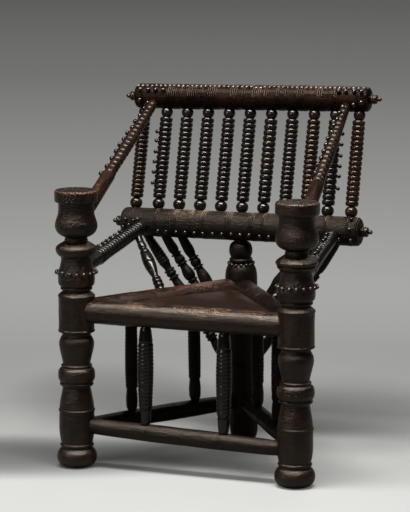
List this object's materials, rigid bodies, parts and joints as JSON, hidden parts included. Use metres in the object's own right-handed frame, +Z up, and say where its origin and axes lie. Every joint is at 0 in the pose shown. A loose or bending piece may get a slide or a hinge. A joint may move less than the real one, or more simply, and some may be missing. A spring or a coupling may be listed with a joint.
{
  "type": "turned chair",
  "caption": "Turned wooden great chair on three posts, with a triangular board seat, slanting arms and a beaded spindle back.",
  "frame": {"origin": "on the floor, under the middle of the chair's box", "axes": "+Z up, +Y towards the back, +X to the right as seen from the front"},
  "size_m": [0.8056, 0.6566, 1.0549],
  "materials": {
    "front_post_wood": "dark turned wood, satin, worn on the edges",
    "rear_post_wood": "dark turned wood, satin",
    "seat_rail_wood": "dark brown wood, worn red-brown on top",
    "board_wood": "brown wood, dull",
    "stretcher_wood": "dark turned wood, satin",
    "under_spindle_wood": "dark turned wood, satin",
    "back_rail_wood": "dark turned wood, satin",
    "crest_wood": "dark brown wood, worn red-brown on top",
    "back_spindle_wood": "dark turned wood, satin",
    "upper_arm_wood": "dark turned wood, satin, worn",
    "lower_arm_wood": "dark turned wood, satin",
    "side_spindle_wood": "brown turned wood, satin",
    "brace_wood": "dark turned wood, satin",
    "finial_wood": "dark turned wood, satin"
  },
  "bodies": {
    "root": {"post_front_left": "front_post_wood", "post_front_right": "front_post_wood", "post_rear": "rear_post_wood", "seat_rail_front": "seat_rail_wood", "seat_rail_left": "seat_rail_wood", "seat_rail_right": "seat_rail_wood", "seat_board": "board_wood", "stretcher_front": "stretcher_wood", "stretcher_left": "stretcher_wood", "stretcher_right": "stretcher_wood", "under_spindle_front_1": "under_spindle_wood", "under_spindle_front_2": "under_spindle_wood", "under_spindle_left_1": "under_spindle_wood", "under_spindle_left_2": "under_spindle_wood", "under_spindle_right_1": "under_spindle_wood", "under_spindle_right_2": "under_spindle_wood", "back_rail_lower": "back_rail_wood", "crest_rail": "crest_wood", "back_spindle_01": "back_spindle_wood", "back_spindle_02": "back_spindle_wood", "back_spindle_03": "back_spindle_wood", "back_spindle_04": "back_spindle_wood", "back_spindle_05": "back_spindle_wood", "back_spindle_06": "back_spindle_wood", "back_spindle_07": "back_spindle_wood", "back_spindle_08": "back_spindle_wood", "back_spindle_09": "back_spindle_wood", "back_spindle_10": "back_spindle_wood", "back_spindle_11": "back_spindle_wood", "upper_arm_left": "upper_arm_wood", "upper_arm_right": "upper_arm_wood", "lower_arm_left": "lower_arm_wood", "lower_arm_right": "lower_arm_wood", "side_spindle_left": "side_spindle_wood", "side_spindle_right": "side_spindle_wood", "brace_left_1": "brace_wood", "brace_left_2": "brace_wood", "brace_left_3": "brace_wood", "brace_right_1": "brace_wood", "brace_right_2": "brace_wood", "brace_right_3": "brace_wood", "finial_crest_left": "finial_wood", "finial_crest_right": "finial_wood", "finial_rail_left": "finial_wood", "finial_rail_right": "finial_wood"}
  },
  "joints": []
}
